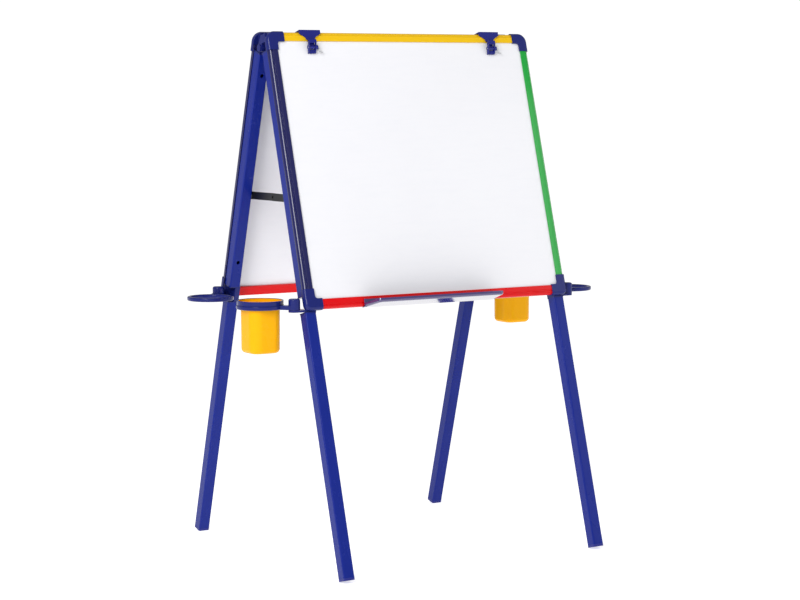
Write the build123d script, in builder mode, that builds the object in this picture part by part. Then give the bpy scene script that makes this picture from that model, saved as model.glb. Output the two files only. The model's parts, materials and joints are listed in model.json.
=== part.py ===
from build123d import *
import os
from math import atan2, cos, degrees, radians, sin, sqrt, tan

# Kids easel: two board frames, mirror images of each other, hinged along their top edges.
# World axes: X across the easel, +Y from the front board to the back board, +Z up, origin on
# the floor midway between the four feet. Millimetres.
#
# Each leaning frame has its own axes: u across, s up the slope from the lowest edge of its
# feet, n outward from the plane of its tubes' inner faces. side is -1 at the front and +1 at
# the back, hand is -1 at the left and +1 at the right, both as seen from the front.

os.makedirs("parts", exist_ok=True)

# frames and tubes
lean = 16.0
hinge_height = 1060.0
frame_width = 640.0
fold_gap = 3.3
tube = 25.0
tube_wall = 1.6
tube_round = 3.0
foot_flange = 5.0
plug_length = 20.0
plug_fit = 0.1

# boards and rails
board_height = 541.0
board_above_hinge = 3.8
board_back = 5.4
board_thickness = 4.0
board_grip = 8.0
slot_fit = 0.1
rail_width = 20.0
rail_depth = 12.0
rail_overhang = 2.0
rail_end_gap = 4.0
back_chamfer = 1.0
flat_band = 9.0
ridge = 0.4
groove = 1.3
bead_radius = 8.0

# screws that hold the side rails to the tubes
screw_from_edge = 65.0
screw_radius = 2.0
screw_fit = 0.1
screw_head_radius = 4.0
screw_head = 2.2
screw_grip = 4.5
driver_hole_radius = 4.0

# corner fittings
collar = 1.6
pocket_fit = 0.1
corner_across = 38.0
corner_up = 42.0
outer_round = {"top": 20.0, "bottom": 12.0}
inner_round = 6.0
collar_round = 7.0
cap = 4.0
cap_to_knuckle = 2.2
web_thickness = 6.8
web_depth = 11.0
waist_width = 11.0
waist_below_board = 24.5
waist_above_board = 11.0
waist_flange = 2.0

# hinge
knuckle_radius = 9.0
hinge_arm = 9.0
hinge_play = 0.4
hinge_pin_radius = 3.0
hinge_pin_fit = 0.05
hinge_head_radius = 7.0
hinge_head = 2.7
hinge_nut_radius = 5.5
hinge_nut = 2.4
hinge_end_play = 0.2

# folding stays
stay_drop = 324.4
stay_width = 16.0
stay_thickness = 3.0
stay_play = 0.3
stay_off_tube = 0.5
rivet_radius = 3.0
rivet_fit = 0.075
rivet_head_radius = 6.0
rivet_head = 2.0
rivet_tail_radius = 4.5
spacer_radius = 6.5
stud_head_radius = 5.5

# cup rings and the lugs that carry them
lug_below_board = 17.4
lug_thickness = 4.7
lug_width = 24.0
post_outside_tube = 18.0
post_radius = 12.0
post_height = 22.5
post_round = 4.0
ring_pin_radius = 4.0
ring_pin_fit = 0.05
ring_pin_reach = 19.0
ring_end_play = 0.7
ring_gap = 0.35
ring_inner = 41.0
ring_band = 8.0
ring_height = 8.5
ring_round = 2.5
ring_arm_length = 73.6
ring_arm_width = 22.0
ring_turn = 40.0

# cups
cup_gap = 0.1
cup_play = 0.6
cup_corner = 22.0
cup_depth = 100.0
cup_taper = 0.5
cup_wall = 2.0
cup_floor_round = 9.0
cup_rest = 4.0
cup_flange = 2.0
cup_neck_height = 8.4
band_gap = 0.1
band_thickness = 2.4
band_height = 9.1

# pen tray
tray_middle = -27.0
tray_length = 321.0
tray_reach = 50.0
tray_end_cut = 8.5
tray_height = 8.0
tray_wall = 2.3
tray_round = 8.0
tray_under_round = 5.0
tray_below_rail = 2.0
tray_gap = 0.2
tray_hook_thickness = 1.8
tray_hook_depth = 10.0
tray_flange = 2.2
tray_flange_rise = 8.0

# paper clips
clip_at = 223.0
clip_width = 50.0
clip_plate = 2.5
clip_gap = 0.4
clip_front_drop = 5.0
clip_back_drop = 12.0
neck_width = 20.0
neck_drop = 14.0
neck_round = 6.0
stem_width = 13.0
barrel_drop = 34.5
barrel_radius = 3.4
jaw_gap = 0.35
jaw_side = 2.0
jaw_end_radius = 4.75
jaw_reach = 12.5
jaw_blade = 8.0
jaw_off_board = 0.4
jaw_lip = 3.0
tab_low = 3.5
tab_high = 15.5
tab_out = 5.2
tab_thickness = 2.0
neck_gap = 0.6
knob_length = 3.9
wire_radius = 1.2
wire_fit = 0.07
wire_bend = 2.5
wire_drop = 10.5
wire_tail = 9.5
wire_off_knob = 0.1

# worked out from the sizes above
sides = {"front": -1, "back": 1}
hands = {"left": -1, "right": 1}
cos_lean = cos(radians(lean))
sin_lean = sin(radians(lean))
hinge_n = -fold_gap / 2
foot_y = tan(radians(lean)) * hinge_height - hinge_n / cos_lean
hinge_s = foot_y * sin_lean + hinge_height * cos_lean
tube_face = frame_width / 2 - tube
tube_u = frame_width / 2 - tube / 2
bore_size = tube - 2 * tube_wall
board_half = frame_width / 2 + rail_overhang - rail_width
board_high = hinge_s + board_above_hinge
board_low = board_high - board_height
rail_front = tube + rail_depth
fitting_front = rail_front + collar
panel = (tube + board_back, tube + board_back + board_thickness)
tube_top = hinge_s - knuckle_radius - cap_to_knuckle - cap
tube_bottom = board_low + waist_above_board
leg_top = board_low - waist_below_board
screw_levels = (board_low + screw_from_edge + 1, board_high - screw_from_edge + 1)
stay_s = hinge_s - stay_drop
stay_y = foot_y - stay_s * sin_lean + tube / 2 * cos_lean
stay_z = stay_s * cos_lean + tube / 2 * sin_lean
lug_s = board_low - lug_below_board
lug_y = foot_y - lug_s * sin_lean + tube / 2 * cos_lean
lug_top = lug_s * cos_lean + tube / 2 * sin_lean + lug_thickness / 2
post_x = frame_width / 2 + post_outside_tube
ring_low = lug_top + ring_gap
ring_outer = ring_inner + ring_band
cup_seat = ring_low + ring_height + cup_gap
cup_size = sqrt(2) * (ring_inner - cup_play + cup_corner * (sqrt(2) - 1))
cup_flange_radius = ring_inner + cup_rest
tray_low = board_low - rail_width - tray_below_rail
barrel_s = board_high + rail_width - barrel_drop
barrel_n = rail_front + ridge + clip_gap + clip_plate - 0.1
front_layer = (tube_face - stay_off_tube - stay_thickness, tube_face - stay_off_tube)
rear_layer = (front_layer[0] - stay_play - stay_thickness, front_layer[0] - stay_play)


def slope(side, u=0, s=0, n=0, facing="n"):
    """A plane in a leaning frame, through (u, s, n).

    Facing n, its sketch is (u, s). Facing s, its sketch is (u, n) and it extrudes down the
    slope. Facing u, its sketch is (s, n).
    """
    base = Plane(origin=(0, side * foot_y, 0), x_dir=(-side, 0, 0), z_dir=(0, side * cos_lean, sin_lean))
    origin = base.origin + base.x_dir * u + base.y_dir * s + base.z_dir * n
    if facing == "s":
        return Plane(origin=origin, x_dir=base.x_dir, z_dir=-base.y_dir)
    if facing == "u":
        return Plane(origin=origin, x_dir=base.y_dir, z_dir=base.x_dir)
    return Plane(origin=origin, x_dir=base.x_dir, z_dir=base.z_dir)


def save(piece, name):
    """Label a finished piece and write its STEP file."""
    piece.part.label = name
    export_step(piece.part, f"parts/{name}.step")


def rectangle(a0, b0, a1, b1):
    """Rectangle between two opposite corners, in the sketch that is open."""
    with Locations(((a0 + a1) / 2, (b0 + b1) / 2)):
        return Rectangle(abs(a1 - a0), abs(b1 - b0))


def block(side, u, s, n, mode=Mode.ADD):
    """Box between two values each of u, s and n."""
    with BuildSketch(slope(side, n=min(n))) as outline:
        rectangle(u[0], s[0], u[1], s[1])
    extrude(outline.sketch, amount=abs(n[1] - n[0]), mode=mode)


def bar(side, h, size, corner, low, high, mode=Mode.ADD):
    """Square bar on a tube's centre line, between two places up the slope."""
    with BuildSketch(slope(side, h * tube_u, high, tube / 2, "s")) as outline:
        RectangleRounded(size, size, corner)
    extrude(outline.sketch, amount=high - low, mode=mode)


def disc(low, high, y, z, radius, mode=Mode.ADD):
    """Disc, shank or bore along X between two values of x."""
    with BuildSketch(Plane.YZ.offset(min(low, high))) as outline:
        with Locations((y, z)):
            Circle(radius)
    extrude(outline.sketch, amount=abs(high - low), mode=mode)


# tubes and feet
def hollow_tube(side, h, low, high):
    bar(side, h, tube, tube_round, low, high)
    bar(side, h, bore_size, tube_round - tube_wall, low, high, Mode.SUBTRACT)


def upper_tube(side, hand):
    """Upper tube, with its screw holes, the driver's holes opposite and the stay's rivet hole."""
    h = -side * hand
    with BuildPart() as piece:
        hollow_tube(side, h, tube_bottom, tube_top)
        for level in screw_levels:
            with BuildSketch(slope(side, h * tube_u, level)):
                Circle(driver_hole_radius)
            extrude(amount=2 * tube_wall, mode=Mode.SUBTRACT)
            with BuildSketch(slope(side, h * tube_u, level, tube - 2 * tube_wall)):
                Circle(screw_radius + screw_fit)
            extrude(amount=3 * tube_wall, mode=Mode.SUBTRACT)
        reach = (hand * tube_face, hand * (tube_face + 2 * tube_wall))
        disc(*reach, side * stay_y, stay_z, rivet_radius + rivet_fit, Mode.SUBTRACT)
    return piece


def leg(side, hand):
    with BuildPart() as piece:
        hollow_tube(side, -side * hand, foot_flange, leg_top)
    return piece


def foot(side, hand):
    """End cap that the easel stands on, its plug inside the leg."""
    h = -side * hand
    plug = bore_size - 2 * plug_fit
    with BuildPart() as piece:
        bar(side, h, tube, tube_round, 0, foot_flange)
        bar(side, h, plug, tube_round - tube_wall, foot_flange, foot_flange + plug_length)
    return piece


# rails and boards
def rail_section(plane, place):
    """Rail section. place turns (a, n) into a sketch point, a running out from the board."""
    slot_low = panel[0] - slot_fit
    slot_high = panel[1] + slot_fit
    slot_depth = board_grip + 2 * slot_fit
    bead_a = rail_width - bead_radius
    bead_n = rail_front - bead_radius

    def on_bead(angle):
        turn = radians(angle)
        return bead_a + bead_radius * cos(turn), bead_n + bead_radius * sin(turn)

    start = on_bead(65)
    with BuildSketch(plane) as section:
        with BuildLine():
            Polyline(
                place(rail_width, bead_n), place(rail_width, tube + back_chamfer),
                place(rail_width - back_chamfer, tube), place(0, tube),
                place(0, slot_low), place(slot_depth, slot_low),
                place(slot_depth, slot_high), place(0, slot_high),
                place(0, rail_front), place(flat_band, rail_front),
                place(flat_band + 0.6, rail_front + ridge), place(flat_band + 2.6, rail_front + ridge),
                place(flat_band + 3.4, rail_front - groove), place(start[0] - 0.6, rail_front - groove),
                place(*start),
            )
            ThreePointArc(place(*start), place(*on_bead(32)), place(rail_width, bead_n))
        make_face()
    return section.sketch


def side_rail(side, hand):
    h = -side * hand
    high = board_high - rail_end_gap
    with BuildPart() as piece:
        section = rail_section(slope(side, s=high, facing="s"), lambda a, n: (h * (board_half + a), n))
        extrude(section, amount=high - board_low - rail_end_gap)
        for level in screw_levels:
            with BuildSketch(slope(side, h * tube_u, level, tube)):
                Circle(screw_radius + screw_fit)
            extrude(amount=screw_grip + screw_fit, mode=Mode.SUBTRACT)
    return piece


def cross_rail(side, edge, way):
    """Rail along the board's top edge (way 1) or bottom edge (way -1)."""
    half = board_half - rail_end_gap
    with BuildPart() as piece:
        section = rail_section(slope(side, u=-half, facing="u"), lambda a, n: (edge + way * a, n))
        extrude(section, amount=2 * half)
    return piece


def board(side):
    half = board_half + board_grip
    with BuildPart() as piece:
        block(side, (-half, half), (board_low - board_grip, board_high + board_grip), panel)
    return piece


def frame_screws(side):
    """Pan-head screws through the tubes' outer walls into the side rails."""
    seat = tube - tube_wall
    with BuildPart() as piece:
        for h in hands.values():
            for level in screw_levels:
                with BuildSketch(slope(side, h * tube_u, level, seat - screw_head)):
                    Circle(screw_head_radius)
                extrude(amount=screw_head)
                with BuildSketch(slope(side, h * tube_u, level, seat)):
                    Circle(screw_radius)
                extrude(amount=tube_wall + screw_grip)
    return piece


# corner fittings
def corner_body(piece, side, h, level):
    """L-shaped shell over two rail ends and the board's corner, open at the back."""
    if level == "top":
        way, edge, arm_s = 1, board_high, tube_top
    else:
        way, edge, arm_s = -1, board_low, board_low - rail_width + corner_up
    out_u = board_half + rail_width + collar
    out_s = edge + way * (rail_width + collar)
    in_u = board_half - collar
    in_s = edge - way * collar
    arm_u = board_half + rail_width - corner_across
    outline = [(arm_u, out_s), (out_u, out_s), (out_u, arm_s), (in_u, arm_s), (in_u, in_s), (arm_u, in_s)]
    with BuildSketch(slope(side, n=tube)) as face:
        with BuildLine():
            Polyline(*[(h * u, s) for u, s in outline], close=True)
        make_face()
        fillet(face.vertices().sort_by_distance((h * out_u, out_s, 0))[0], radius=outer_round[level])
        fillet(face.vertices().sort_by_distance((h * in_u, in_s, 0))[0], radius=inner_round)
    extrude(face.sketch, amount=rail_depth + collar)
    front = slope(side, n=fitting_front)
    rim = piece.faces().sort_by(Axis(front.origin, front.z_dir))[-1].edges()
    outer = []
    for edge_line in rim:
        middle = front.to_local_coords(edge_line @ 0.5)
        if h * middle.X > out_u - collar_round or way * (middle.Y - out_s) > -collar_round:
            outer.append(edge_line)
    ends = [line for line in outer if abs(front.to_local_coords(line @ 0.5).X * h - arm_u) < 0.01
            or abs(front.to_local_coords(line @ 0.5).Y - arm_s) < 0.01]
    fillet([line for line in outer if line not in ends], radius=collar_round)

    reach = rail_front + ridge + pocket_fit
    near = board_half - pocket_fit
    far = board_half + rail_width + pocket_fit
    side_end = edge - way * (rail_end_gap - pocket_fit)
    with BuildSketch(slope(side, s=max(side_end, arm_s), facing="s")) as hole:
        rectangle(h * near, tube - 1, h * far, reach)
        fillet(hole.vertices().sort_by_distance((h * far, reach, 0))[0], radius=bead_radius - 1)
    extrude(hole.sketch, amount=abs(side_end - arm_s), mode=Mode.SUBTRACT)
    cross_end = board_half - rail_end_gap + pocket_fit
    with BuildSketch(slope(side, u=min(h * arm_u, h * cross_end), facing="u")) as hole:
        rectangle(edge - way * pocket_fit, tube - 1, edge + way * (rail_width + pocket_fit), reach)
        fillet(hole.vertices().sort_by_distance((edge + way * (rail_width + pocket_fit), reach, 0))[0],
               radius=bead_radius - 1)
    extrude(hole.sketch, amount=cross_end - arm_u, mode=Mode.SUBTRACT)
    panel_u = (h * (arm_u - 1), h * (board_half + board_grip + slot_fit))
    panel_s = (edge + way * (board_grip + slot_fit), arm_s - way)
    block(side, panel_u, panel_s, (panel[0] - slot_fit, panel[1] + slot_fit), Mode.SUBTRACT)


def top_corner(side, hand):
    """Top corner: shell, cap and plug for the tube, and the hinge arm. The front frame's arms
    lie outside the back frame's."""
    h = -side * hand
    rail_top = board_high + rail_width
    arm_out = frame_width / 2 + rail_overhang
    if side > 0:
        arm_out -= hinge_arm + hinge_play
    arm_in = arm_out - hinge_arm
    shoulder = hinge_s + 6.3
    with BuildPart() as piece:
        corner_body(piece, side, h, "top")
        tube_edges = (h * tube_face, h * (frame_width / 2))
        block(side, tube_edges, (tube_top, tube_top + cap), (0, tube))
        bar(side, h, bore_size - 2 * plug_fit, tube_round - tube_wall, tube_top - plug_length, tube_top)
        web = (h * tube_face, h * (tube_face + web_thickness))
        block(side, web, (tube_top, rail_top), (tube - web_depth, tube))
        with BuildSketch(slope(side, u=min(h * arm_in, h * arm_out), facing="u")):
            with BuildLine():
                Polyline((rail_top - 1, tube + 1), (rail_top - 1, knuckle_radius - 0.6),
                         (hinge_s + 6.4, hinge_n - 6.4), (hinge_s, hinge_n),
                         (hinge_s, hinge_n + knuckle_radius), (shoulder, knuckle_radius),
                         (shoulder, tube + 1), close=True)
            make_face()
            with Locations((hinge_s, hinge_n)):
                Circle(knuckle_radius)
                Circle(hinge_pin_radius + hinge_pin_fit, mode=Mode.SUBTRACT)
        extrude(amount=hinge_arm)
    return piece


def bottom_corner(side, hand):
    """Bottom corner: shell, narrow waist between leg and upper tube, and the cup ring's lug."""
    h = -side * hand
    plug = bore_size - 2 * plug_fit
    tube_edges = (h * tube_face, h * (frame_width / 2))
    with BuildPart() as piece:
        corner_body(piece, side, h, "bottom")
        waist = (h * tube_face, h * (tube_face + waist_width))
        block(side, waist, (leg_top, tube_bottom), (0, tube))
        block(side, tube_edges, (leg_top, leg_top + waist_flange), (0, tube))
        block(side, tube_edges, (tube_bottom - waist_flange, tube_bottom), (0, tube))
        bar(side, h, plug, tube_round - tube_wall, leg_top - plug_length, leg_top)
        bar(side, h, plug, tube_round - tube_wall, tube_bottom, tube_bottom + plug_length)
        with BuildSketch(Plane.XY.offset(lug_top - lug_thickness)):
            root = tube_face + waist_width / 2
            rectangle(hand * root, side * lug_y - lug_width / 2, hand * post_x, side * lug_y + lug_width / 2)
            with Locations((hand * post_x, side * lug_y)):
                Circle(lug_width / 2)
                Circle(ring_pin_radius + ring_pin_fit, mode=Mode.SUBTRACT)
        extrude(amount=lug_thickness)
    return piece


# hinge pins and stays
def hinge_pins():
    """One pin on each side through both frames' hinge arms, head outside and nut inside."""
    head_at = frame_width / 2 + rail_overhang + hinge_end_play
    nut_at = head_at - 2 * hinge_arm - hinge_play - 2 * hinge_end_play
    with BuildPart() as piece:
        for hand in hands.values():
            disc(hand * nut_at, hand * head_at, 0, hinge_height, hinge_pin_radius)
            disc(hand * head_at, hand * (head_at + hinge_head), 0, hinge_height, hinge_head_radius)
            disc(hand * (nut_at - hinge_nut), hand * nut_at, 0, hinge_height, hinge_nut_radius)
    return piece


def stay_link(side, hand):
    """Flat link from a frame's tube to the middle joint; front and rear links lie in two layers."""
    layer = front_layer if side < 0 else rear_layer
    low = min(hand * layer[0], hand * layer[1])
    with BuildPart() as piece:
        with BuildSketch(Plane.YZ.offset(low)):
            with Locations((side * stay_y / 2, stay_z)):
                SlotCenterToCenter(stay_y, stay_width)
            with Locations((side * stay_y, stay_z), (0, stay_z)):
                Circle(rivet_radius + rivet_fit, mode=Mode.SUBTRACT)
        extrude(amount=stay_thickness)
    return piece


def stay_rivets(side):
    """Rivets through the tubes' walls that carry a frame's links; the rear ones have spacers."""
    layer = front_layer if side < 0 else rear_layer
    tail_at = tube_face + tube_wall
    head_at = layer[0] - stay_play
    with BuildPart() as piece:
        for hand in hands.values():
            disc(hand * head_at, hand * tail_at, side * stay_y, stay_z, rivet_radius)
            disc(hand * tail_at, hand * (tail_at + 1.2), side * stay_y, stay_z, rivet_tail_radius)
            disc(hand * (head_at - rivet_head), hand * head_at, side * stay_y, stay_z, rivet_head_radius)
            if side > 0:
                spacer = (hand * (layer[1] + stay_play), hand * tube_face)
                disc(*spacer, side * stay_y, stay_z, spacer_radius)
    return piece


def stay_stud(hand):
    """Stud of the middle joint, set in the rear link."""
    with BuildPart() as piece:
        disc(hand * rear_layer[0], hand * rear_layer[1], 0, stay_z, rivet_radius)
        disc(hand * (rear_layer[0] - rivet_head), hand * rear_layer[0], 0, stay_z, stud_head_radius)
    return piece


# cup rings and cups
def ring_centre(side, hand):
    turn = radians(ring_turn)
    x = post_x + ring_arm_length * sin(turn)
    y = lug_y - ring_arm_length * cos(turn)
    return hand * x, side * y


def ring_pins(side):
    with BuildPart() as piece:
        for hand in hands.values():
            with BuildSketch(Plane.XY.offset(lug_top - lug_thickness)):
                with Locations((hand * post_x, side * lug_y)):
                    Circle(ring_pin_radius)
            extrude(amount=lug_thickness + ring_gap + ring_pin_reach)
    return piece


def cup_ring(side, hand):
    """Rounded ring on an arm, with the domed post that turns on the lug's pin."""
    x, y = ring_centre(side, hand)
    px, py = hand * post_x, side * lug_y
    angle = degrees(atan2(y - py, x - px))
    with BuildPart() as piece:
        with BuildSketch(Plane(origin=(x, y, ring_low), x_dir=(1, 0, 0), z_dir=(0, -1, 0))):
            with Locations(((ring_inner + ring_outer) / 2, ring_height / 2)):
                RectangleRounded(ring_outer - ring_inner, ring_height, ring_round)
        revolve(axis=Axis((x, y, 0), (0, 0, 1)))
        with BuildSketch(Plane.XY.offset(ring_low)):
            with Locations(((x + px) / 2, (y + py) / 2)):
                Rectangle(ring_arm_length, ring_arm_width, rotation=angle)
            with Locations((x, y)):
                Circle((ring_inner + ring_outer) / 2, mode=Mode.SUBTRACT)
        extrude(amount=ring_height)
        with BuildSketch(Plane.XY.offset(ring_low)):
            with Locations((px, py)):
                Circle(post_radius)
        extrude(amount=post_height)
        fillet(piece.faces().sort_by(Axis.Z)[-1].edges(), radius=post_round)
        with BuildSketch(Plane.XY.offset(ring_low)):
            with Locations((px, py)):
                Circle(ring_pin_radius + ring_pin_fit)
        extrude(amount=ring_pin_reach + ring_end_play, mode=Mode.SUBTRACT)
    return piece


def cup_bowl(side, hand, inset, floor):
    """Tapered round-cornered bowl shape, inset all round and with its floor raised."""
    top = cup_seat + cup_flange
    plane = Plane(origin=(*ring_centre(side, hand), top), x_dir=(1, 0, 0), z_dir=(0, 0, -1))
    with BuildPart() as piece:
        with BuildSketch(plane):
            RectangleRounded(cup_size - 2 * inset, cup_size - 2 * inset, cup_corner - inset)
        extrude(amount=cup_depth - floor, taper=cup_taper)
        fillet(piece.faces().sort_by(Axis.Z)[0].edges(), radius=cup_floor_round - inset)
    return piece


def cup(side, hand):
    """Cup with a round flange that rests on the ring and a low neck above it."""
    outside = cup_bowl(side, hand, 0, 0)
    inside = cup_bowl(side, hand, cup_wall, cup_wall)
    with BuildPart() as piece:
        add(outside.part)
        with BuildSketch(Plane.XY.offset(cup_seat)):
            with Locations(ring_centre(side, hand)):
                Circle(cup_flange_radius)
        extrude(amount=cup_flange)
        with BuildSketch(Plane.XY.offset(cup_seat)):
            with Locations(ring_centre(side, hand)):
                Circle(cup_flange_radius)
                Circle(cup_flange_radius - cup_wall, mode=Mode.SUBTRACT)
        extrude(amount=cup_neck_height)
        add(inside.part, mode=Mode.SUBTRACT)
    return piece


def cup_band(side, hand):
    """Band round the neck of a cup."""
    inner = cup_flange_radius + band_gap
    with BuildPart() as piece:
        with BuildSketch(Plane.XY.offset(cup_seat)):
            with Locations(ring_centre(side, hand)):
                Circle(inner + band_thickness)
                Circle(inner, mode=Mode.SUBTRACT)
        extrude(amount=band_height)
    return piece


# pen tray
def pen_tray():
    """Shallow tray square to the front board, hooked under the bottom rail."""
    back = rail_front + ridge + tray_gap
    out = back + tray_reach
    half = tray_length / 2
    left, right = tray_middle - half, tray_middle + half

    def plan(inset):
        return [(left + inset, back + inset), (right - inset, back + inset),
                (right - tray_end_cut - inset, out - inset), (left + tray_end_cut + inset, out - inset)]

    with BuildPart() as piece:
        with BuildSketch(slope(-1, s=tray_low + tray_height, facing="s")) as outline:
            with BuildLine():
                Polyline(*plan(0), close=True)
            make_face()
            fillet([outline.vertices().sort_by_distance((*corner, 0))[0] for corner in plan(0)[2:]],
                   radius=tray_round)
        extrude(amount=tray_height)
        under = slope(-1, s=tray_low, n=out, facing="n")
        front_edge = piece.edges().filter_by(Axis.X).sort_by_distance(under.origin)[0]
        fillet(front_edge, radius=tray_under_round)
        with BuildSketch(slope(-1, s=tray_low + tray_height, facing="s")) as hollow:
            with BuildLine():
                Polyline(*plan(tray_wall), close=True)
            make_face()
            fillet([hollow.vertices().sort_by_distance((*corner, 0))[0] for corner in plan(tray_wall)[2:]],
                   radius=tray_round - tray_wall)
        extrude(amount=tray_height - tray_wall, mode=Mode.SUBTRACT)
        flange_top = tray_low + tray_height + tray_flange_rise
        block(-1, (left, right), (tray_low + tray_height - 1, flange_top), (back, back + tray_flange))
        hook_s = (tray_low, tray_low + tray_hook_thickness)
        block(-1, (left, right), hook_s, (back - tray_hook_depth, back + 1))
    return piece


# paper clips on the front top rail
def clip_body(hand):
    """Hook over the rail with a stem down to the jaw's barrel."""
    u0 = hand * clip_at
    rail_top = board_high + rail_width
    top = rail_top + clip_gap + clip_plate
    plate = (rail_front + ridge + clip_gap, rail_front + ridge + clip_gap + clip_plate)
    leg_n = (tube - clip_gap - clip_plate, tube - clip_gap)
    head = (u0 - clip_width / 2, u0 + clip_width / 2)
    stem = (u0 - stem_width / 2, u0 + stem_width / 2)
    shoulder = rail_top - clip_front_drop
    neck_s = rail_top - neck_drop
    neck_end = barrel_s + tab_high + neck_gap
    half = neck_width / 2
    with BuildPart() as piece:
        block(-1, head, (shoulder, top), plate)
        with BuildSketch(slope(-1, n=plate[0])) as neck:
            with BuildLine():
                Polyline((head[0], shoulder), (head[1], shoulder), (u0 + half, neck_s), (u0 + half, neck_end),
                         (u0 - half, neck_end), (u0 - half, neck_s), close=True)
            make_face()
            bends = [neck.vertices().sort_by_distance((u0 + way * half, neck_s, 0))[0] for way in (-1, 1)]
            fillet(bends, radius=neck_round)
        extrude(amount=clip_plate)
        block(-1, head, (top - clip_plate, top), (leg_n[0], plate[1]))
        block(-1, head, (rail_top - clip_back_drop, top), leg_n)
        block(-1, stem, (barrel_s, neck_s), plate)
        with BuildSketch(slope(-1, u=stem[0], facing="u")):
            with Locations((barrel_s, barrel_n)):
                Circle(barrel_radius)
        extrude(amount=stem_width)
        with BuildSketch(slope(-1, u=stem[0], facing="u")):
            with Locations((barrel_s, barrel_n)):
                Circle(wire_radius + wire_fit)
        extrude(amount=stem_width, mode=Mode.SUBTRACT)
    return piece


def clip_jaw(hand):
    """Lever jaw: two side plates on the wire, blade below and thumb tab above."""
    u0 = hand * clip_at
    inner = stem_width / 2 + jaw_gap
    outer = inner + jaw_side
    low = barrel_s - jaw_reach
    lip_n = panel[1] + jaw_off_board
    tab_n = barrel_n + tab_out
    with BuildPart() as piece:
        for start in (u0 - outer, u0 + inner):
            with BuildSketch(slope(-1, u=start, facing="u")):
                with BuildLine():
                    Polyline((low, lip_n + 1.2), (low + jaw_blade, lip_n + 1.2),
                             (barrel_s + tab_low, barrel_n - 0.5), (barrel_s + tab_high, tab_n),
                             (barrel_s + tab_high, tab_n + tab_thickness),
                             (barrel_s - 0.5, barrel_n + jaw_end_radius - 0.1), (low, lip_n + 4.2), close=True)
                make_face()
                with Locations((barrel_s, barrel_n)):
                    Circle(jaw_end_radius)
            extrude(amount=jaw_side)
        block(-1, (u0 - outer, u0 + outer), (low, low + jaw_blade), (lip_n + 1.2, lip_n + 4.2))
        block(-1, (u0 - outer, u0 + outer), (low, low + jaw_lip), (lip_n, lip_n + 4.2))
        tab_s = (barrel_s + tab_low + 4, barrel_s + tab_high)
        block(-1, (u0 - outer, u0 + outer), tab_s, (tab_n, tab_n + tab_thickness))
        with BuildSketch(slope(-1, u=u0 + outer, facing="u")):
            with Locations((barrel_s, barrel_n)):
                Circle(jaw_end_radius)
        extrude(amount=knob_length)
        with BuildSketch(slope(-1, u=u0 - outer, facing="u")):
            with Locations((barrel_s, barrel_n)):
                Circle(wire_radius + wire_fit)
        extrude(amount=2 * outer + knob_length, mode=Mode.SUBTRACT)
    return piece


def clip_wire(hand):
    """Wire that is the jaw's pin, then turns down and out beside it."""
    u0 = hand * clip_at
    outer = stem_width / 2 + jaw_gap + jaw_side
    bend_u = u0 + outer + knob_length + wire_bend + wire_off_knob
    start = u0 - outer
    with BuildPart() as piece:
        with BuildLine(slope(-1, n=barrel_n)):
            FilletPolyline((start, barrel_s), (bend_u, barrel_s), (bend_u, barrel_s - wire_drop),
                           (bend_u + wire_tail, barrel_s - wire_drop), radius=wire_bend)
        with BuildSketch(slope(-1, u=start, s=barrel_s, n=barrel_n, facing="u")):
            Circle(wire_radius)
        sweep()
    return piece


for side_name, side in sides.items():
    for hand_name, hand in hands.items():
        save(upper_tube(side, hand), f"{side_name}_{hand_name}_upper_tube")
        save(leg(side, hand), f"{side_name}_{hand_name}_leg")
        save(foot(side, hand), f"{side_name}_{hand_name}_foot")
        save(side_rail(side, hand), f"{side_name}_{hand_name}_rail")
        save(top_corner(side, hand), f"{side_name}_top_{hand_name}_corner")
        save(bottom_corner(side, hand), f"{side_name}_bottom_{hand_name}_corner")
        save(cup_ring(side, hand), f"{side_name}_{hand_name}_cup_ring")
        save(stay_link(side, hand), f"{side_name}_{hand_name}_stay_link")
    save(cross_rail(side, board_high, 1), f"{side_name}_top_rail")
    save(cross_rail(side, board_low, -1), f"{side_name}_bottom_rail")
    save(board(side), f"{side_name}_board")
    save(frame_screws(side), f"{side_name}_frame_screws")
    save(ring_pins(side), f"{side_name}_ring_pins")
    save(stay_rivets(side), f"{side_name}_stay_rivets")

for hand_name, hand in hands.items():
    save(stay_stud(hand), f"{hand_name}_stay_stud")
    save(clip_body(hand), f"{hand_name}_clip_body")
    save(clip_jaw(hand), f"{hand_name}_clip_jaw")
    save(clip_wire(hand), f"{hand_name}_clip_wire")

save(cup(-1, -1), "front_cup")
save(cup_band(-1, -1), "front_cup_band")
save(cup(1, 1), "back_cup")
save(cup_band(1, 1), "back_cup_band")
save(hinge_pins(), "hinge_pins")
save(pen_tray(), "pen_tray")
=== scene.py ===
# %% [markdown]
# # Kids easel
#
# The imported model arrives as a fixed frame, and it already holds every piece of the easel down
# to its screws and pins, so this file makes no piece of its own. It gives each surface a
# procedural material, and sets up a pale studio with the camera. Lengths are in metres.

# %% Load the frame
import json
import math

import bpy
from mathutils import Matrix, Vector

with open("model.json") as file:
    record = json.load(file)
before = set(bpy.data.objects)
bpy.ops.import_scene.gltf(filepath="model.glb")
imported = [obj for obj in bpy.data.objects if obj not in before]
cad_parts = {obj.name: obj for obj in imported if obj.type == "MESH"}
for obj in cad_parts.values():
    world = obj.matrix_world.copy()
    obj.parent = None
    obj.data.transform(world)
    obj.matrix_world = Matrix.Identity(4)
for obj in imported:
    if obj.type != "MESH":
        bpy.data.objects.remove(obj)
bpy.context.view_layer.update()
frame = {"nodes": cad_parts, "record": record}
record = frame["record"]

# %% [markdown]
# ## Node trees in a few words
#
# A shader is a chain of small nodes. It could be drawn by hand in the Shader Editor, but built in
# code it comes out the same each time. These helpers add a node, join two sockets, turn a list of
# (position, colour) stops into a colour ramp, and start an empty node group, so that the
# materials below read as recipes.

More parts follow.
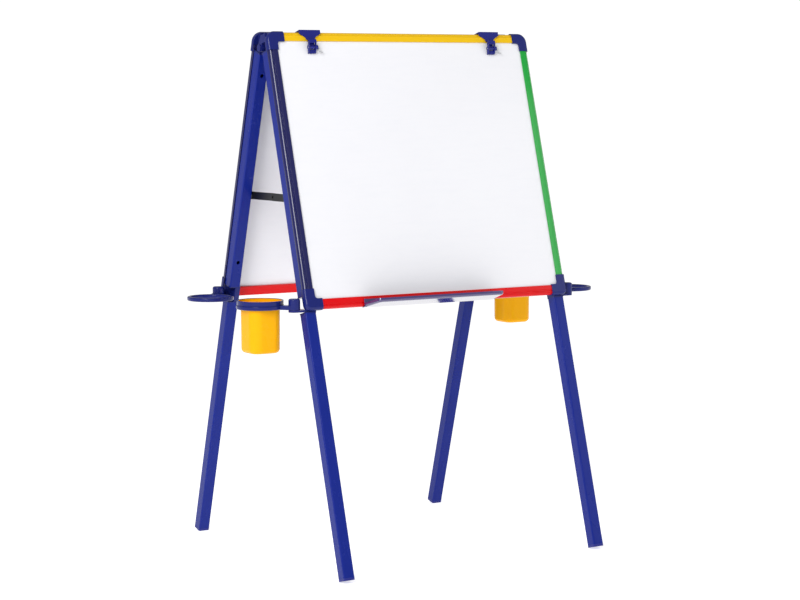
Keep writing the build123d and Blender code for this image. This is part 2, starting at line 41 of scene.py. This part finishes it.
# %% Helpers for node trees
def node(tree, kind, **settings):
    """Add a node; settings are its attributes or, where it has none by that name, its inputs."""
    made = tree.nodes.new(kind)
    for key, value in settings.items():
        if key in made.bl_rna.properties:
            setattr(made, key, value)
        else:
            made.inputs[key.replace("_", " ").title()].default_value = value
    return made


def join(tree, source, target):
    tree.links.new(source, target)


def ramp(tree, source, stops):
    made = tree.nodes.new("ShaderNodeValToRGB")
    elements = made.color_ramp.elements
    while len(elements) < len(stops):
        elements.new(0.5)
    for element, (position, value) in zip(elements, stops):
        element.position = position
        element.color = value if len(value) == 4 else (*value, 1.0)
    join(tree, source, made.inputs["Fac"])
    return made.outputs["Color"]


def grey(value):
    return (value, value, value, 1.0)


def group(name, inputs, outputs):
    """An empty node group with named inputs (name, kind, default) and outputs (name, kind)."""
    tree = bpy.data.node_groups.new(name, "ShaderNodeTree")
    for label, kind, default in inputs:
        socket = tree.interface.new_socket(label, in_out="INPUT", socket_type=kind)
        socket.default_value = default
    for label, kind in outputs:
        tree.interface.new_socket(label, in_out="OUTPUT", socket_type=kind)
    return tree, tree.nodes.new("NodeGroupInput"), tree.nodes.new("NodeGroupOutput")


# %% [markdown]
# ## Effects that the materials share
#
# Every paint and plastic on the easel has the same four habits, so each is made once, as a node
# group, and placed in each material with its own strength. A group hands back a mask, a value
# or a normal and leaves the colour and the finish to its material.
#
# The first is soft edges. No moulded or painted edge is perfectly sharp. The edge could be
# rounded in the mesh, but the frame's meshes are fixed, so the Bevel node rounds it in the
# shading. Where the rounded normal turns away from the true one there is an edge, and that
# gives a mask for wear.

# %% Soft edges
EDGE_FLAT = 0.995
EDGE_SHARP = 0.85


def soft_edges():
    tree, start, end = group(
        "Soft edges",
        [("Radius", "NodeSocketFloat", 0.0008)],
        [("Mask", "NodeSocketFloat"), ("Normal", "NodeSocketVector")],
    )
    bevel = node(tree, "ShaderNodeBevel", samples=4)
    surface = node(tree, "ShaderNodeNewGeometry")
    turn = node(tree, "ShaderNodeVectorMath", operation="DOT_PRODUCT")
    rise = node(tree, "ShaderNodeMapRange")
    rise.inputs["From Min"].default_value = EDGE_FLAT
    rise.inputs["From Max"].default_value = EDGE_SHARP
    join(tree, start.outputs["Radius"], bevel.inputs["Radius"])
    join(tree, bevel.outputs["Normal"], turn.inputs[0])
    join(tree, surface.outputs["Normal"], turn.inputs[1])
    join(tree, turn.outputs["Value"], rise.inputs["Value"])
    join(tree, rise.outputs["Result"], end.inputs["Mask"])
    join(tree, bevel.outputs["Normal"], end.inputs["Normal"])
    return tree


effects = {"edges": soft_edges()}
print("made:", ", ".join(effects))

# %% [markdown]
# Grain is the fine unevenness of a moulding or of a paint film, too small to see as bumps but
# enough to soften a reflection. Real bumps in the mesh would cost millions of faces, so noise
# tilts the normal instead, starting from the softened one.

# %% Grain
GRAIN_DEPTH = 0.0002


def grain():
    tree, start, end = group(
        "Grain",
        [("Scale", "NodeSocketFloat", 900.0), ("Height", "NodeSocketFloat", 0.1),
         ("Normal", "NodeSocketVector", (0.0, 0.0, 0.0))],
        [("Normal", "NodeSocketVector")],
    )
    place = node(tree, "ShaderNodeTexCoord")
    fine = node(tree, "ShaderNodeTexNoise", detail=3.0)
    bump = node(tree, "ShaderNodeBump", distance=GRAIN_DEPTH)
    join(tree, place.outputs["Object"], fine.inputs["Vector"])
    join(tree, start.outputs["Scale"], fine.inputs["Scale"])
    join(tree, start.outputs["Height"], bump.inputs["Strength"])
    join(tree, fine.outputs["Fac"], bump.inputs["Height"])
    join(tree, start.outputs["Normal"], bump.inputs["Normal"])
    join(tree, bump.outputs["Normal"], end.inputs["Normal"])
    return tree


effects["grain"] = grain()
print("made:", ", ".join(effects))

# %% [markdown]
# Handling is the slow change in gloss that hands and cloths leave over a palm's width. A painted
# image could hold it, but a slow noise needs no image and fits every piece. It gives the
# roughness between two limits, and a mask by which the colour drifts.

# %% Handling
HANDLING_FROM = 0.3
HANDLING_TO = 0.7


def handling():
    tree, start, end = group(
        "Handling",
        [("Scale", "NodeSocketFloat", 14.0), ("Low", "NodeSocketFloat", 0.2),
         ("High", "NodeSocketFloat", 0.35)],
        [("Roughness", "NodeSocketFloat"), ("Mask", "NodeSocketFloat")],
    )
    place = node(tree, "ShaderNodeTexCoord")
    slow = node(tree, "ShaderNodeTexNoise", detail=5.0, roughness=0.6)
    spread = node(tree, "ShaderNodeMapRange")
    spread.inputs["From Min"].default_value = HANDLING_FROM
    spread.inputs["From Max"].default_value = HANDLING_TO
    join(tree, place.outputs["Object"], slow.inputs["Vector"])
    join(tree, start.outputs["Scale"], slow.inputs["Scale"])
    join(tree, slow.outputs["Fac"], spread.inputs["Value"])
    join(tree, start.outputs["Low"], spread.inputs["To Min"])
    join(tree, start.outputs["High"], spread.inputs["To Max"])
    join(tree, spread.outputs["Result"], end.inputs["Roughness"])
    join(tree, slow.outputs["Fac"], end.inputs["Mask"])
    return tree


effects["handling"] = handling()
print("made:", ", ".join(effects))

# %% [markdown]
# Dust settles on what faces up, such as rail tops and ring rims, and not in an even film. The
# upward part of the normal, times a speckled noise, gives the mask.

# %% Dust
DUST_FROM_TILT = 0.3


def dust():
    tree, start, end = group(
        "Dust",
        [("Amount", "NodeSocketFloat", 0.15), ("Scale", "NodeSocketFloat", 60.0)],
        [("Mask", "NodeSocketFloat")],
    )
    surface = node(tree, "ShaderNodeNewGeometry")
    split = node(tree, "ShaderNodeSeparateXYZ")
    place = node(tree, "ShaderNodeTexCoord")
    specks = node(tree, "ShaderNodeTexNoise", detail=6.0, roughness=0.7)
    upward = node(tree, "ShaderNodeMapRange")
    upward.inputs["From Min"].default_value = DUST_FROM_TILT
    both = node(tree, "ShaderNodeMath", operation="MULTIPLY")
    final = node(tree, "ShaderNodeMath", operation="MULTIPLY")
    join(tree, surface.outputs["Normal"], split.inputs["Vector"])
    join(tree, split.outputs["Z"], upward.inputs["Value"])
    join(tree, place.outputs["Object"], specks.inputs["Vector"])
    join(tree, start.outputs["Scale"], specks.inputs["Scale"])
    join(tree, upward.outputs["Result"], both.inputs[0])
    join(tree, specks.outputs["Fac"], both.inputs[1])
    join(tree, both.outputs["Value"], final.inputs[0])
    join(tree, start.outputs["Amount"], final.inputs[1])
    join(tree, final.outputs["Value"], end.inputs["Mask"])
    return tree


effects["dust"] = dust()
print("made:", ", ".join(effects))

# %% [markdown]
# ## The materials
#
# One recipe serves the paints and the plastics, because both are a coloured body under a
# smooth skin: the colour drifts a little, edges are rubbed paler, dust lies on top, and grain
# and handling change the shine. What differs is how strong each is. First come three small
# helpers: one places a shared effect, one mixes two colours, and one turns a screen colour
# into the linear one that the renderer wants.

# %% Helpers for colour
MIX_FACTOR, MIX_FIRST, MIX_SECOND, MIX_RESULT = 0, 6, 7, 2


def use(tree, effect, **values):
    made = tree.nodes.new("ShaderNodeGroup")
    made.node_tree = effects[effect]
    for key, value in values.items():
        made.inputs[key.title()].default_value = value
    return made


def mixed(tree, factor, first, second):
    """Mix two colours, each a socket or a plain colour, by a socket or a number."""
    made = node(tree, "ShaderNodeMix", data_type="RGBA")
    for place, value in ((MIX_FACTOR, factor), (MIX_FIRST, first), (MIX_SECOND, second)):
        if isinstance(value, bpy.types.NodeSocket):
            join(tree, value, made.inputs[place])
        else:
            made.inputs[place].default_value = value
    return made.outputs[MIX_RESULT]


def linear(red, green, blue):
    """A colour as a screen shows it, 0 to 255, as the renderer wants it."""
    def one(value):
        share = value / 255
        return share / 12.92 if share <= 0.04045 else ((share + 0.055) / 1.055) ** 2.4
    return (one(red), one(green), one(blue), 1.0)


print("a mid grey on screen is", round(linear(128, 128, 128)[0], 3), "to the renderer")

# %% [markdown]
# The recipe itself. Its numbers that are the same all over a surface, such as the coat and the
# shine, are set on the shader's own sockets, and only what changes over the surface comes
# through nodes.

# %% Coloured surfaces
DUST_COLOUR = (0.55, 0.54, 0.52, 1.0)
RUBBED_KEEPS, RUBBED_ADDS = 0.85, 0.05
DRIFT_LIFT = 0.002
COAT_ROUGHNESS = 0.08
SUBSURFACE_DEPTH = 0.003


def coloured(name, colour, gloss=(0.18, 0.3), grain_size=900.0, grain_height=0.05, drift=0.06,
             wear=0.15, coat=0.0, dusty=0.03, edge=0.0008, subsurface=0.0, shine=0.35):
    material = bpy.data.materials.new(name)
    material.use_nodes = True
    tree = material.node_tree
    shader = tree.nodes["Principled BSDF"]
    edges = use(tree, "edges", radius=edge)
    skin = use(tree, "grain", scale=grain_size, height=grain_height)
    hands = use(tree, "handling", low=gloss[0], high=gloss[1])
    lying = use(tree, "dust", amount=dusty)
    join(tree, edges.outputs["Normal"], skin.inputs["Normal"])
    darker = tuple(value * (1 - drift) for value in colour[:3]) + (1.0,)
    lighter = tuple(min(1.0, value * (1 + drift) + DRIFT_LIFT) for value in colour[:3]) + (1.0,)
    body = mixed(tree, hands.outputs["Mask"], darker, lighter)
    rubbed = node(tree, "ShaderNodeMath", operation="MULTIPLY")
    rubbed.inputs[1].default_value = wear
    join(tree, edges.outputs["Mask"], rubbed.inputs[0])
    pale = tuple(RUBBED_KEEPS * value + RUBBED_ADDS for value in colour[:3]) + (1.0,)
    worn = mixed(tree, rubbed.outputs["Value"], body, pale)
    dusted = mixed(tree, lying.outputs["Mask"], worn, DUST_COLOUR)
    join(tree, dusted, shader.inputs["Base Color"])
    join(tree, hands.outputs["Roughness"], shader.inputs["Roughness"])
    join(tree, skin.outputs["Normal"], shader.inputs["Normal"])
    shader.inputs["Specular IOR Level"].default_value = shine
    shader.inputs["Coat Weight"].default_value = coat
    shader.inputs["Coat Roughness"].default_value = COAT_ROUGHNESS
    shader.inputs["Subsurface Weight"].default_value = subsurface
    shader.inputs["Subsurface Scale"].default_value = SUBSURFACE_DEPTH
    return material


# %% [markdown]
# The screws, pins, rivets, studs and clip wires are steel: the same recipe made metallic, with a
# finer grain and well rubbed edges.

# %% Steel
def steel():
    material = coloured("steel", (0.55, 0.56, 0.58, 1.0), gloss=(0.22, 0.4), grain_size=2500.0,
                        grain_height=0.1, wear=0.5, dusty=0.03, edge=0.0003)
    material.node_tree.nodes["Principled BSDF"].inputs["Metallic"].default_value = 1.0
    return material


materials = {"steel": steel()}
print("made:", materials["steel"].name)

# %% [markdown]
# The board is a hard white sheet whose faint smears, left by wiping, run mostly across. A
# stretched noise makes them: it changes slowly across the board and quickly up it.

# %% Writing board
SMEAR_STRETCH = (3.0, 12.0, 22.0)
SMEAR_STRENGTH = 0.12
SMEAR_COLOUR = linear(208, 211, 220)


def writing_board():
    material = coloured("board_white", linear(226, 226, 230), gloss=(0.12, 0.22), grain_size=350.0,
                        grain_height=0.02, drift=0.01, wear=0.0, dusty=0.01, shine=0.3)
    tree = material.node_tree
    shader = tree.nodes["Principled BSDF"]
    place = node(tree, "ShaderNodeTexCoord")
    stretch = node(tree, "ShaderNodeMapping")
    stretch.inputs["Scale"].default_value = SMEAR_STRETCH
    wiped = node(tree, "ShaderNodeTexNoise", detail=6.0, roughness=0.65, distortion=0.8)
    join(tree, place.outputs["Object"], stretch.inputs["Vector"])
    join(tree, stretch.outputs["Vector"], wiped.inputs["Vector"])
    smear = ramp(tree, wiped.outputs["Fac"], [(0.45, grey(0.0)), (0.8, grey(SMEAR_STRENGTH))])
    before = shader.inputs["Base Color"].links[0].from_socket
    join(tree, mixed(tree, smear, before, SMEAR_COLOUR), shader.inputs["Base Color"])
    return material


materials["board_white"] = writing_board()
print("made:", materials["board_white"].name)

# %% [markdown]
# The blues. The tubes are painted and less shiny, the corner fittings and clips are smooth
# mouldings, the tray is a glossy one that mirrors the floor, and the feet are dull.

# %% Blue finishes
materials["tube_blue"] = coloured(
    "tube_blue", linear(12, 32, 124), gloss=(0.2, 0.3), grain_size=1400.0, grain_height=0.1,
    drift=0.08, wear=0.06, dusty=0.015, shine=0.18)
materials["fitting_blue"] = coloured(
    "fitting_blue", linear(18, 28, 100), gloss=(0.16, 0.26), grain_size=1100.0, grain_height=0.05,
    drift=0.05, wear=0.08, dusty=0.015, shine=0.25)
materials["tray_blue"] = coloured(
    "tray_blue", linear(44, 28, 96), gloss=(0.05, 0.09), grain_size=600.0, grain_height=0.01,
    drift=0.03, wear=0.1, coat=1.0, shine=0.8)
materials["rail_navy"] = coloured(
    "rail_navy", linear(12, 14, 76), gloss=(0.08, 0.14), grain_size=700.0, grain_height=0.02,
    drift=0.05, wear=0.08, coat=0.3)
materials["foot_plastic"] = coloured(
    "foot_plastic", linear(16, 28, 120), gloss=(0.35, 0.5), grain_size=1500.0, grain_height=0.15,
    drift=0.08, wear=0.2)
materials["clip_plastic"] = coloured(
    "clip_plastic", linear(16, 24, 112), gloss=(0.18, 0.28), grain_size=1100.0, grain_height=0.04,
    drift=0.05, wear=0.1)
print("materials so far:", len(materials))

# %% [markdown]
# The bright rails and the cups. Their colour is strong, so they get little shine, because a
# pale reflection would wash it out. Light passes a little way into the cups' thin walls,
# which subsurface gives them. The stays are dull black.

# %% Bright finishes and black
materials["rail_green"] = coloured(
    "rail_green", linear(8, 152, 52), gloss=(0.1, 0.18), grain_size=700.0, grain_height=0.02,
    drift=0.04, wear=0.1, coat=0.2)
materials["rail_yellow"] = coloured(
    "rail_yellow", linear(224, 180, 14), gloss=(0.14, 0.24), grain_size=700.0, grain_height=0.02,
    drift=0.03, wear=0.0, shine=0.2)
materials["rail_red"] = coloured(
    "rail_red", linear(206, 0, 8), gloss=(0.12, 0.2), grain_size=700.0, grain_height=0.02,
    drift=0.04, wear=0.0, shine=0.2)
materials["cup_yellow"] = coloured(
    "cup_yellow", linear(240, 170, 0), gloss=(0.18, 0.3), grain_size=800.0, grain_height=0.04,
    drift=0.04, wear=0.0, dusty=0.01, subsurface=0.06, shine=0.12)
materials["stay_black"] = coloured(
    "stay_black", linear(10, 10, 14), gloss=(0.3, 0.45), grain_size=1600.0, grain_height=0.12,
    drift=0.1, wear=0.2)
print("materials so far:", len(materials))

# %% [markdown]
# Each finish goes to the nodes that the record gives that slot. Only the material changes: the
# meshes and their places belong to the frame.

# %% Give every node its material
for part in record["subparts"]:
    mesh = frame["nodes"][part["node"]].data
    mesh.materials.clear()
    mesh.materials.append(materials[part["material_slot"]])
print("materials:", len(materials))

# %% [markdown]
# ## The studio
#
# A pale floor that glows a little, so that it stays pale far from the lights and sends light up
# under the tray. A white paper sweep would do the same in a real studio.

# %% Floor
FLOOR_SIZE = 40.0
FLOOR_DROP = 0.0005
FLOOR_GLOW = 0.6


def studio_floor():
    bpy.ops.mesh.primitive_plane_add(size=FLOOR_SIZE, location=(0.0, 0.0, -FLOOR_DROP))
    floor = bpy.context.object
    floor.name = "floor"
    material = bpy.data.materials.new("floor")
    material.use_nodes = True
    tree = material.node_tree
    place = node(tree, "ShaderNodeTexCoord")
    cloud = node(tree, "ShaderNodeTexNoise", scale=2.0, detail=3.0)
    join(tree, place.outputs["Object"], cloud.inputs["Vector"])
    tone = ramp(tree, cloud.outputs["Fac"], [(0.3, grey(0.9)), (0.7, grey(0.92))])
    join(tree, tone, tree.nodes["Principled BSDF"].inputs["Base Color"])
    tree.nodes["Principled BSDF"].inputs["Emission Color"].default_value = grey(1.0)
    tree.nodes["Principled BSDF"].inputs["Emission Strength"].default_value = FLOOR_GLOW
    tree.nodes["Principled BSDF"].inputs["Roughness"].default_value = 0.9
    floor.data.materials.append(material)


studio_floor()
print("floor:", FLOOR_SIZE, "m square")

# %% [markdown]
# A large soft light from the left shapes the tubes, a weak one from the right lifts their
# shaded sides, and an even surround fills the rest. The surround is brighter to the camera
# than to the easel, so that the background is white but the light stays soft.

# %% Lights
LIGHT_AIM = (0.0, 0.0, 0.6)
SURROUND_SEEN = 1.05
SURROUND_LIGHT = 0.5


def area_light(name, place, size, watts):
    data = bpy.data.lights.new(name, "AREA")
    data.shape = "RECTANGLE"
    data.size, data.size_y = size
    data.energy = watts
    light = bpy.data.objects.new(name, data)
    bpy.context.collection.objects.link(light)
    aim = Vector(LIGHT_AIM) - Vector(place)
    light.matrix_world = Matrix.Translation(place) @ aim.to_track_quat("-Z", "Y").to_matrix().to_4x4()


def surround(strength):
    world = bpy.data.worlds.new("surround")
    bpy.context.scene.world = world
    world.use_nodes = True
    tree = world.node_tree
    seen = node(tree, "ShaderNodeLightPath")
    level = node(tree, "ShaderNodeMapRange")
    level.inputs["To Min"].default_value = strength
    level.inputs["To Max"].default_value = SURROUND_SEEN
    join(tree, seen.outputs["Is Camera Ray"], level.inputs["Value"])
    join(tree, level.outputs["Result"], tree.nodes["Background"].inputs["Strength"])
    tree.nodes["Background"].inputs["Color"].default_value = grey(1.0)


area_light("key", place=(-3.2, -2.2, 2.6), size=(1.6, 2.4), watts=120.0)
area_light("fill", place=(3.0, -2.4, 1.6), size=(2.0, 2.0), watts=18.0)
surround(SURROUND_LIGHT)

# %% [markdown]
# The camera stands to the left of the easel, far away and a little below its top, with a long
# lens, so that the upright lines hardly converge.

# %% Camera
def camera(place, turn, lens):
    data = bpy.data.cameras.new("camera")
    data.lens = lens
    data.dof.use_dof = False
    seen = bpy.data.objects.new("camera", data)
    bpy.context.collection.objects.link(seen)
    seen.location = place
    seen.rotation_euler = [math.radians(angle) for angle in turn]
    bpy.context.scene.camera = seen


camera(place=(-2.5332, -4.0999, 0.9832), turn=(84.534, 0.164, -31.888), lens=101.1)
bpy.context.scene.view_settings.view_transform = "Standard"
print("camera lens:", bpy.context.scene.camera.data.lens)
